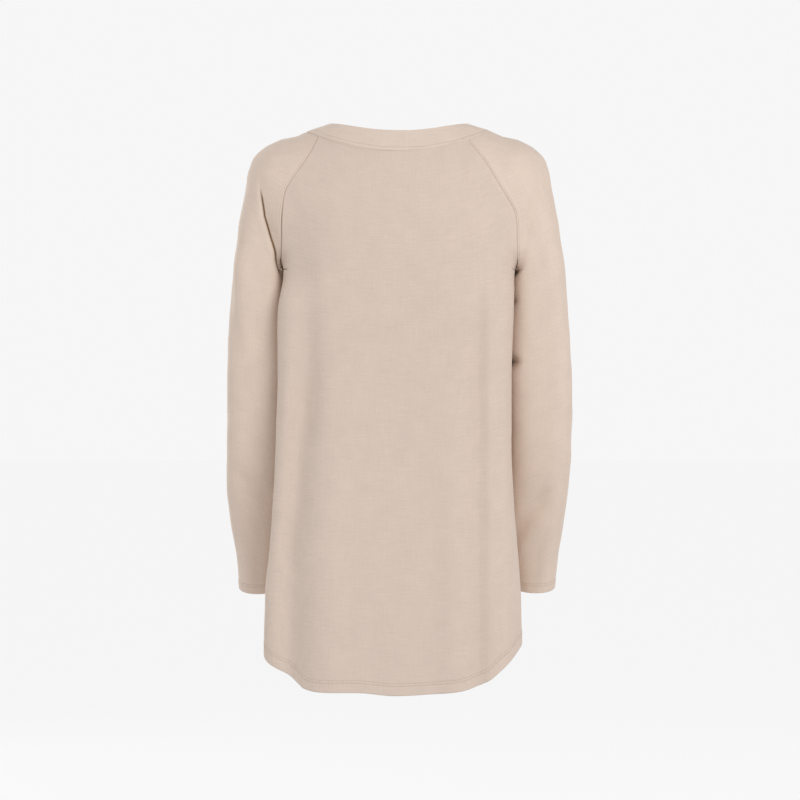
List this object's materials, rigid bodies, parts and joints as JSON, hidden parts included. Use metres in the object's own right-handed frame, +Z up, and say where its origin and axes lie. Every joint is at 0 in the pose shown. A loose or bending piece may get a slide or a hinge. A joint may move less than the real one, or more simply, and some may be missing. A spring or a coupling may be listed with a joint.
{
  "type": "long-sleeve top",
  "caption": "Raglan long-sleeve jersey top in its hollow worn form, with a wide neck band, turned-up cuffs and a curved shirt-tail hem.",
  "frame": {"origin": "in the middle of the neck opening, level with the top of the neck band at the shoulders", "axes": "+Z up, the front of the garment faces -Y, the wearer's left is +X"},
  "size_m": [0.4757, 0.2491, 0.7721],
  "materials": {
    "body_jersey": "matte brushed cotton jersey",
    "sleeve_jersey": "matte brushed cotton jersey",
    "band_jersey": "matte brushed cotton jersey, doubled"
  },
  "bodies": {
    "root": {"back_panel": "body_jersey", "front_panel": "body_jersey", "left_sleeve": "sleeve_jersey", "right_sleeve": "sleeve_jersey", "neck_band": "band_jersey"}
  },
  "joints": []
}
